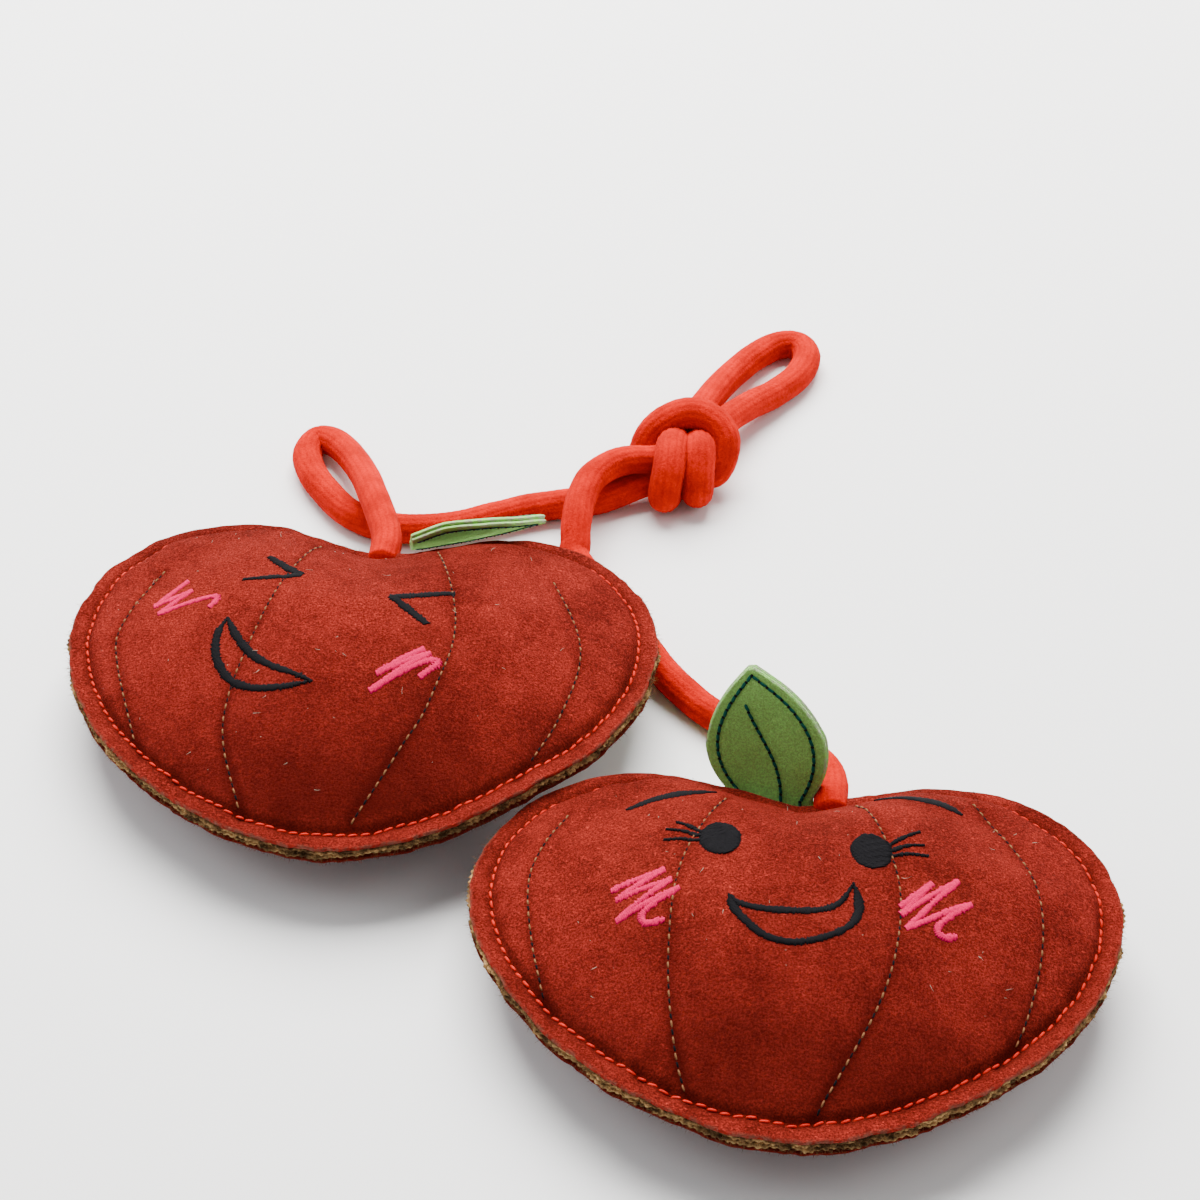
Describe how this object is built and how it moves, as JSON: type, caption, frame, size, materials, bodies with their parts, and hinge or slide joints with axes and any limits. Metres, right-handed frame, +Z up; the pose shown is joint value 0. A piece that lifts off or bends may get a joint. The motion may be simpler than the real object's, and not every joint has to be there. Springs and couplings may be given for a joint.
{
  "type": "pair of stuffed fruit-shaped cushions on a rope",
  "caption": "Stuffed suede fruit cushions with stitched faces and leaves, joined by a knotted rope with a hanging loop.",
  "frame": {"origin": "middle of the right cushion's flat resting patch, on the resting surface", "axes": "+Z up, +Y from the right cushion's middle towards its dip, rope and leaf, +X towards its right side; -Z is the resting face"},
  "size_m": [0.3002, 0.3582, 0.0561],
  "materials": {
    "red_suede": "napped suede",
    "back_suede": "napped suede",
    "jute": "coarse woven",
    "filling": "loose fibre",
    "rim_thread": "twisted thread",
    "rib_thread": "twisted thread",
    "black_thread": "satin embroidery",
    "pink_thread": "satin embroidery",
    "green_suede": "napped suede",
    "leaf_thread": "twisted thread",
    "rope": "knitted, slightly fuzzy"
  },
  "bodies": {
    "right_cushion": {"right_face_panel": "red_suede", "right_face_lining": "jute", "right_filling": "filling", "right_back_lining": "jute", "right_back_panel": "back_suede", "right_rim_stitch": "rim_thread", "right_rib_stitch_1": "rib_thread", "right_rib_stitch_2": "rib_thread", "right_rib_stitch_3": "rib_thread", "right_rib_stitch_4": "rib_thread", "right_eye_1": "black_thread", "right_eye_2": "black_thread", "right_brow_1": "black_thread", "right_brow_2": "black_thread", "right_mouth": "black_thread", "right_cheek_1": "pink_thread", "right_cheek_2": "pink_thread"},
    "rope": {"rope_left_strand": "rope", "rope_knot": "rope", "rope_loop": "rope", "rope_right_strand": "rope"},
    "left_cushion": {"left_face_panel": "red_suede", "left_face_lining": "jute", "left_filling": "filling", "left_back_lining": "jute", "left_back_panel": "back_suede", "left_rim_stitch": "rim_thread", "left_rib_stitch_1": "rib_thread", "left_rib_stitch_2": "rib_thread", "left_rib_stitch_3": "rib_thread", "left_rib_stitch_4": "rib_thread", "left_eye_1": "black_thread", "left_eye_2": "black_thread", "left_mouth": "black_thread", "left_cheek_1": "pink_thread", "left_cheek_2": "pink_thread"},
    "right_leaf": {"right_leaf_front": "green_suede", "right_leaf_back": "green_suede", "right_leaf_edge_stitch": "leaf_thread", "right_leaf_vein_stitch": "leaf_thread"},
    "left_leaf": {"left_leaf_front": "green_suede", "left_leaf_back": "green_suede", "left_leaf_edge_stitch": "leaf_thread", "left_leaf_vein_stitch": "leaf_thread"}
  },
  "joints": [
    {"name": "rope_lift", "type": "hinge", "parent": "right_cushion", "child": "rope", "pos_m": [0.00829, 0.05207, 0.02], "axis": [0.7071, 0.7071, 0], "range_deg": [0, 40]},
    {"name": "left_cushion_lift", "type": "hinge", "parent": "rope", "child": "left_cushion", "pos_m": [-0.12869, 0.14697, 0.02], "axis": [-1, 0, 0], "range_deg": [0, 25]},
    {"name": "right_leaf_flex", "type": "hinge", "parent": "right_cushion", "child": "right_leaf", "pos_m": [-0.00594, 0.04851, 0.0165], "axis": [-0.9549, 0.144, -0.2597], "range_deg": [-4, 15], "stiffness_Nm_per_rad": 0.02},
    {"name": "left_leaf_flex", "type": "hinge", "parent": "left_cushion", "child": "left_leaf", "pos_m": [-0.1213, 0.14751, 0.0195], "axis": [0.1476, -0.6697, 0.7278], "range_deg": [0, 20], "stiffness_Nm_per_rad": 0.02}
  ]
}
